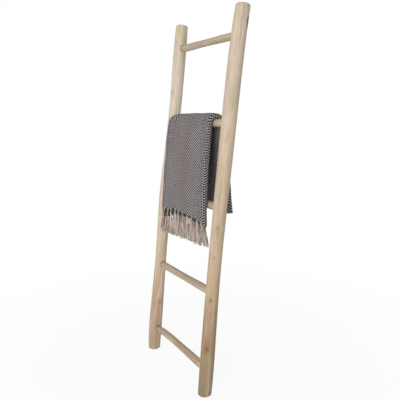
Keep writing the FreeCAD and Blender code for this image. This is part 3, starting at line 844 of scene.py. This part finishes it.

# Linear colours of the pale and the black yarn, in the field and in the borders, and of the painted shade on
# the hidden ends.
ROSY_YARN = (0.430, 0.366, 0.362)
GREY_YARN = (0.445, 0.412, 0.417)
BORDER_YARN = (0.66, 0.62, 0.62)
BLACK_YARN = ((0.008, 0.007, 0.009), (0.026, 0.024, 0.026))
BORDER_BLACK = (0.004, 0.004, 0.005)
HEM_SHADE_COLOURS = ((0.012, 0.009, 0.007), (0.060, 0.044, 0.034))
LINT = (0.24, 0.21, 0.20)


def weave_zones(n, u, v, width, length, front_start):
    """Where the cloth is a border along the front's two edges, and where a hidden layer's end is painted
    black as shade.
    """
    from_fold = n.math("ABSOLUTE", n.minus(u, front_start))
    right_border = n.ramp(n.over(from_fold, BORDER), [(0.6, 1.0), (1.0, 0.0)])
    from_edge = n.minus(width, u)
    left_border = n.ramp(n.over(from_edge, BORDER), [(0.3, 0.75), (1.0, 0.0)])
    outside = n.math("GREATER_THAN", v, length - FRONT_DROP - CROWN_LENGTH)
    border = n.times(n.math("MAXIMUM", right_border, left_border), outside)
    first_end = n.math("LESS_THAN", v, HEM_SHADE_WIDTH)
    last_end = n.math("GREATER_THAN", v, length - HEM_SHADE_WIDTH)
    inside = n.math("LESS_THAN", u, front_start - BORDER)
    hem_shade = n.math("MAXIMUM", first_end, n.times(last_end, inside))
    return border, hem_shade


def weave_material(width, length, front_start):
    """Black and pale yarns in a broken herringbone twill, drawn thread by thread in the cloth's own metres.

    front_start is how far across the cloth its outermost width begins, at the folded side.
    """
    n = Nodes("throw_weave")
    u, v, _ = n.axes(n.coordinates("UV"))
    border, hem_shade = weave_zones(n, u, v, width, length, front_start)
    threads_u = n.over(n.minus(u, COLUMN_START), WARP_STEP)
    threads_v = n.over(v, WEFT_STEP)
    column = n.math("FLOOR", threads_u)
    row = n.math("FLOOR", threads_v)

    # The twill climbs one thread a row and turns back at each column's edge. In the borders a second
    # twill crosses it, which breaks the stripes into bright beads on black.
    zigzag = n.math("PINGPONG", column, COLUMN_THREADS)
    rising_row = n.minus(zigzag, row)
    falling_row = n.plus(zigzag, row)
    phase = n.math("FRACT", n.over(rising_row, TWILL_THREADS))
    rising = n.math("FRACT", n.over(rising_row, BEAD_THREADS))
    falling = n.math("FRACT", n.over(falling_row, BEAD_THREADS))
    beads = n.times(n.math("LESS_THAN", rising, 0.55), n.math("LESS_THAN", falling, 0.45))
    beaded = n.math("GREATER_THAN", border, 0.4)
    pale_up = n.mix(beaded, n.math("LESS_THAN", phase, 0.45), beads)
    # The hidden ends get no pale yarn: they are painted black as shade.
    pale_up = n.times(pale_up, n.minus(1.0, hem_shade))
    missed = n.noise(n.joined(column, row, 0.0), 0.37, 1.0)
    pale_up = n.times(pale_up, n.math("GREATER_THAN", missed, 0.30))

    # Each thread is round, and painted shade darkens the gap beside the next one.
    across_thread = n.math("PINGPONG", threads_u, 0.5)
    along_thread = n.math("PINGPONG", threads_v, 0.5)
    warp_round = n.times(across_thread, 2.0)
    weft_round = n.times(along_thread, 2.0)
    hills = n.mix(pale_up, weft_round, warp_round)
    warp_gap_shade = n.ramp(across_thread, [(0.0, 0.62), (0.20, 1.0)])
    weft_gap_shade = n.ramp(along_thread, [(0.0, 0.62), (0.20, 1.0)])
    thread_gap_shade = n.times(warp_gap_shade, weft_gap_shade)

    patches = n.noise(n.joined(u, v, 0.0), 9.0, 3.0)
    fluff = n.noise(n.joined(u, v, 0.0), 2600.0, 2.0)
    pale = n.tinted(ROSY_YARN, patches, 0.35, 0.65, 1.0, GREY_YARN)
    pale = n.mix(border, pale, BORDER_YARN)
    dark = n.mix(fluff, *BLACK_YARN)
    dark = n.mix(border, dark, BORDER_BLACK)
    # Painted shade on the hidden ends.
    dark = n.mix(hem_shade, dark, n.mix(fluff, *HEM_SHADE_COLOURS))
    colour = n.mix(pale_up, dark, pale)
    lint = n.times(n.ramp(fluff, [(0.45, 0.0), (0.75, 1.0)]), 0.12)
    # Painted shade in the gaps between the threads is multiplied in here, over grey lint.
    colour = n.mix(1.0, n.mix(lint, colour, LINT), thread_gap_shade, blend="MULTIPLY")
    normal = n.bump(n.plus(hills, n.times(fluff, 0.5)), YARN_RELIEF, 0.7)
    return n.finish(colour, 0.93, normal, Specular_IOR_Level=0.12, Sheen_Weight=0.12, Sheen_Roughness=0.45)


# ---------------------------------------------------------------- fringe

# Metres, but for the counts: the tassels, the neck above each knot, the knot, the loose skirt and its yarns.
TASSEL_STEP = 0.0335
TASSEL_LENGTH = 0.103
NECK_HALF_WIDTH = 0.0052
KNOT_RADIUS = 0.0038
KNOT_TURNS = 2.0
KNOT_STEPS = 20
SKIRT_HALF_WIDTH = 0.0125
SKIRT_HALF_DEPTH = 0.0050
SKIRT_STEPS = 9
RAGGEDNESS = 0.026
YARNS = 10
YARN_RADIUS = 0.00125
YARN_TWIST = 0.0042

# Linear colours of the yarn, from place to place, of the painted shade between its plies, and of its fluff.
ROSE_YARN = (0.40, 0.300, 0.255)
PALE_YARN = (0.68, 0.580, 0.520)
DULL_YARN = (0.46, 0.440, 0.370)
PLY_GAP_SHADE = (0.22, 0.150, 0.120)
YARN_FLUFF = (0.78, 0.72, 0.65)


def tube(bm, uv, points, radii, sides=6):
    """A closed tube through points, with coordinates that run round it and along it in metres."""
    rings, lengths = [], [0.0]
    for index, point in enumerate(points):
        before = points[max(index - 1, 0)]
        after = points[min(index + 1, len(points) - 1)]
        direction = (after - before).normalized()
        side = direction.cross(Vector((0.0, 1.0, 0.2))).normalized()
        other = direction.cross(side)
        ring = []
        for k in range(sides):
            angle = 2 * math.pi * k / sides
            outward = side * math.cos(angle) + other * math.sin(angle)
            ring.append(bm.verts.new(point + outward * radii[index]))
        rings.append(ring)
        if index:
            lengths.append(lengths[-1] + (point - points[index - 1]).length)
    for a in range(len(rings) - 1):
        for k in range(sides):
            m = (k + 1) % sides
            corners = ((a, k), (a, m), (a + 1, m), (a + 1, k))
            turns = (k / sides, (k + 1) / sides, (k + 1) / sides, k / sides)
            places = [(turn, lengths[ring]) for turn, (ring, _) in zip(turns, corners)]
            add_quad(bm, uv, rings, corners, places)
    for ring in (rings[0][::-1], rings[-1]):
        bm.faces.new(ring)


def knot(bm, uv, centre, down, rng):
    """A tied knot: yarn wound twice round the bundle in a slanting loop, with its ends tucked in."""
    side = down.cross(Vector((0.0, 1.0, 0.0))).normalized()
    other = down.cross(side).normalized()
    tilt = rng.uniform(0.25, 0.5)
    points = []
    for step in range(KNOT_STEPS + 1):
        share = step / KNOT_STEPS
        angle = 2 * math.pi * KNOT_TURNS * share + tilt
        reach = KNOT_RADIUS * (0.78 + 0.22 * math.sin(math.pi * share))
        drop = (share - 0.5) * KNOT_RADIUS * 1.5 + math.sin(angle) * KNOT_RADIUS * tilt * 0.6
        points.append(centre + (side * math.cos(angle) + other * math.sin(angle)) * reach + down * drop)
    tube(bm, uv, points, [YARN_RADIUS * 1.15] * len(points))


def tassel(bm, uv, hem, down, drop, length, rng):
    """A knotted tassel: yarns gather from the hem into a knot drop below it, and hang loose from there."""
    side = Vector((1.0, 0.0, 0.0))
    front = down.cross(side).normalized()
    knot_drop = drop * rng.uniform(0.75, 1.3)
    knot_place = hem + down * knot_drop + side * rng.uniform(-0.002, 0.002)
    lean = rng.uniform(-0.07, 0.07)
    for index in range(YARNS):
        share = index / (YARNS - 1) * 2 - 1
        start = hem + side * share * NECK_HALF_WIDTH - down * 0.002
        middle = hem.lerp(knot_place, 0.3) + side * share * 0.0020
        end = knot_place + side * share * 0.0014
        tube(bm, uv, [start, middle, end], [YARN_RADIUS * 0.9] * 3, sides=5)
    knot(bm, uv, knot_place, down, rng)
    for index in range(YARNS):
        angle = 2 * math.pi * index / YARNS + rng.uniform(-0.3, 0.3)
        spread = rng.uniform(0.4, 1.0)
        out = side * math.cos(angle) * SKIRT_HALF_WIDTH * spread
        out += front * math.sin(angle) * SKIRT_HALF_DEPTH * spread
        phase, wave = rng.uniform(0, 6.28), rng.uniform(0.0008, 0.0028)
        end = length - rng.uniform(0.0, 1.0) ** 2 * RAGGEDNESS
        points, radii = [], []
        for step in range(SKIRT_STEPS + 1):
            t = step / SKIRT_STEPS
            loose = min(1.0, 4 * t)
            at = knot_place + down * (end - knot_drop) * t + out * (1 - (1 - t) ** 1.8)
            at += side * (lean * length * t ** 1.5 + wave * math.sin(phase + 9.0 * t) * loose)
            at += front * wave * math.cos(phase + 7.0 * t) * loose
            points.append(at)
            radii.append(YARN_RADIUS * (1.15 if t < 0.9 else 0.8))
        tube(bm, uv, points, radii)


def make_fringe(across, width):
    """Tassels along both ends of the cloth, which both hang at the front hem."""
    mesh = bpy.data.meshes.new("throw_fringe_yarn")
    bm = bmesh.new()
    uv = bm.loops.layers.uv.new("yarn")
    rng = random.Random(11)
    count = int(width / TASSEL_STEP)
    for half in (1.0, -1.0):
        for index in range(count):
            at = (index + 0.5) * width / count + rng.uniform(-0.003, 0.003)
            station = min(across, key=lambda item: abs(item[0] - at))
            hem = cloth_point(station, 0.0, half)
            depth = station[2] + math.cos(station[3]) * LAYER_STEP / 2 * half
            # The inner tassels lie along the ladder, clear of rung 3, and the outer ones hang plumb.
            plumb_share = min(1.0, max(0.0, (depth - 0.006) / 0.010))
            down = (-UP).lerp(Vector((0.0, 0.0, -1.0)), plumb_share)
            # The fringe fans out towards both sides, most where the stack behind pushes it; on the left
            # only its outer tassels do, in front of the pole.
            share = across_share(station[1])
            right_fan = 0.85 * max(0.0, share - 0.5) ** 1.5
            left_fan = 0.36 * max(0.0, 0.45 - share) * plumb_share
            sway, forward = rng.uniform(-0.05, 0.05), rng.uniform(0.0, 0.03)
            down += Vector((right_fan - left_fan + sway, -forward - 0.4 * left_fan, 0.0))
            lower = lower_hem(station[1], depth)
            knot_drop = 0.009 + 0.60 * lower_hem(station[1], 0.0) * (1 - share) * plumb_share
            length = TASSEL_LENGTH + hem_rise(share) - 0.8 * lower + rng.uniform(-0.010, 0.006)
            tassel(bm, uv, hem, down.normalized(), knot_drop, length, rng)
    bm.to_mesh(mesh)
    bm.free()
    fringe = bpy.data.objects.new("throw_fringe_yarn", mesh)
    scene.collection.objects.link(fringe)
    return fringe


def yarn_material():
    """Pale two-ply yarn: a slanting twist with painted shade between the plies, and patches of rose and grey.
    """
    n = Nodes("fringe_yarn")
    u, v, _ = n.axes(n.coordinates("UV"))
    place = n.coordinates()
    twist = n.math("FRACT", n.plus(n.times(u, 2.0), n.over(v, YARN_TWIST)))
    ply = n.math("PINGPONG", twist, 0.5)
    patches = n.noise(n.scaled(place, (75, 60, 16)), 1.0, 2.0)
    greys = n.noise(n.scaled(place, (50, 50, 22), (4, 1, 7)), 1.0, 2.0)
    fluff = n.noise(place, 1500.0, 2.0)
    colour = n.tinted(ROSE_YARN, patches, 0.35, 0.62, 1.0, PALE_YARN)
    colour = n.tinted(colour, greys, 0.50, 0.68, 0.6, DULL_YARN)
    # Painted shade in the groove between the plies.
    colour = n.mix(n.ramp(ply, [(0.0, 0.55), (0.30, 0.0)]), colour, PLY_GAP_SHADE)
    colour = n.tinted(colour, fluff, 0.55, 0.85, 0.35, YARN_FLUFF)
    normal = n.bump(n.plus(ply, n.times(fluff, 0.3)), 0.0007, 0.8)
    return n.finish(colour, 0.9, normal, Specular_IOR_Level=0.15, Sheen_Weight=0.2, Sheen_Roughness=0.5)


def dress_throw():
    cloth, across, flat = make_cloth()
    front_start = flat[0] - (high_corner.x - STACK / 2 - low_corner.x)
    paint(cloth, weave_material(*flat, front_start))
    fringe = make_fringe(across, flat[0])
    paint(fringe, yarn_material())
    for piece, slot in ((cloth, "throw_cloth"), (fringe, "fringe_yarn")):
        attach(piece, "throw")
    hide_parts("throw")
    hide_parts("throw_fringe", "throw_fringe_under")


# ---------------------------------------------------------------- floor and light

WHITE = (1.0, 1.0, 1.0, 1.0)
FLOOR_HALF_SIZE = 12.0

# The floor's share of plain white grows from FLOOR_WHITE_NEAR to 1 between these distances from the middle.
FLOOR_SHADE_REACH = (0.5, 1.6)
FLOOR_WHITE_NEAR = 0.91
ROOM_LIGHT = 0.48


def seen_directly(tree):
    """1 for camera, glossy and transmission rays, and 0 for the rays that carry the room's light."""
    rays = tree.nodes.new("ShaderNodeLightPath")
    value = rays.outputs["Is Camera Ray"]
    for name in ("Is Glossy Ray", "Is Transmission Ray"):
        either = tree.nodes.new("ShaderNodeMath")
        either.operation = "MAXIMUM"
        tree.links.new(value, either.inputs[0])
        tree.links.new(rays.outputs[name], either.inputs[1])
        value = either.outputs[0]
    return value


def glow(tree, kind, strength):
    """White light of one strength: kind is Emission for a surface and Background for the world."""
    node = tree.nodes.new(f"ShaderNode{kind}")
    node.inputs["Color"].default_value = WHITE
    node.inputs["Strength"].default_value = strength
    return node.outputs[0]


def show(tree, output, share, plain, seen):
    """Send to the output one shader that is seen by the share of rays given, and one for the others."""
    mixed = tree.nodes.new("ShaderNodeMixShader")
    for socket, value in zip(mixed.inputs, (share, plain, seen)):
        tree.links.new(value, socket)
    tree.links.new(mixed.outputs[0], output.inputs["Surface"])


def make_floor():
    """A pale floor: it keeps the ladder's soft shadow near the feet and fades to white further out."""
    mesh = bpy.data.meshes.new("floor")
    s = FLOOR_HALF_SIZE
    mesh.from_pydata([(-s, -s, 0), (s, -s, 0), (s, s, 0), (-s, s, 0)], [], [(0, 1, 2, 3)])
    floor = bpy.data.objects.new("floor", mesh)
    scene.collection.objects.link(floor)
    n = Nodes("floor")
    place = n.coordinates()
    colour = n.mix(n.noise(place, 18.0, 3.0), (0.93, 0.93, 0.925), (0.95, 0.95, 0.945))
    paint(floor, n.finish(colour, 0.9, Specular_IOR_Level=0.1))
    near, far = FLOOR_SHADE_REACH
    white_share = n.tree.nodes.new("ShaderNodeMapRange")
    n.feed(white_share.inputs["Value"], n.length(place))
    n.feed(white_share.inputs["From Min"], near)
    n.feed(white_share.inputs["From Max"], far)
    n.feed(white_share.inputs["To Min"], FLOOR_WHITE_NEAR)
    n.feed(white_share.inputs["To Max"], 1.0)
    share = n.times(white_share.outputs[0], seen_directly(n.tree))
    show(n.tree, n.output, share, n.shader.outputs[0], glow(n.tree, "Emission", 1.0))


def lamp(name, place, target, size, power, colour):
    data = bpy.data.lights.new(name, "AREA")
    data.shape = "DISK"
    data.size = size
    data.energy = power
    data.color = colour
    light = bpy.data.objects.new(name, data)
    light.location = place
    light.rotation_euler = (Vector(target) - Vector(place)).to_track_quat("-Z", "Y").to_euler()
    scene.collection.objects.link(light)


def make_light():
    """A large soft key just left of the camera, a weak light from the far left, and a pale room."""
    lamp("key", (3.5, -4.3, 2.3), (0.0, 0.0, 0.75), size=3.2, power=190.0, colour=(1.0, 0.985, 0.975))
    lamp("side", (-2.6, -1.6, 2.0), (0.0, 0.0, 0.8), size=2.0, power=8.0, colour=(0.97, 0.985, 1.0))
    world = bpy.data.worlds.new("room")
    scene.world = world
    world.use_nodes = True
    tree = world.node_tree
    tree.nodes.clear()
    output = tree.nodes.new("ShaderNodeOutputWorld")
    room, backdrop = glow(tree, "Background", ROOM_LIGHT), glow(tree, "Background", 1.0)
    show(tree, output, seen_directly(tree), room, backdrop)


# ---------------------------------------------------------------- everything

make_camera()
for pole, pole_side in (("left_rail", -1), ("right_rail", 1)):
    dress_pole(pole, pole_side)
for rung_number in RUNG_TONES:
    dress_rung(rung_number)
screw_steel = steel()
for screws in ("left_rail_screws", "right_rail_screws"):
    paint(frame["nodes"][screws], screw_steel)
dress_throw()
make_floor()
make_light()
scene.view_settings.view_transform = "Standard"


def plain(box):
    return [[float(value) for value in corner] for corner in box]
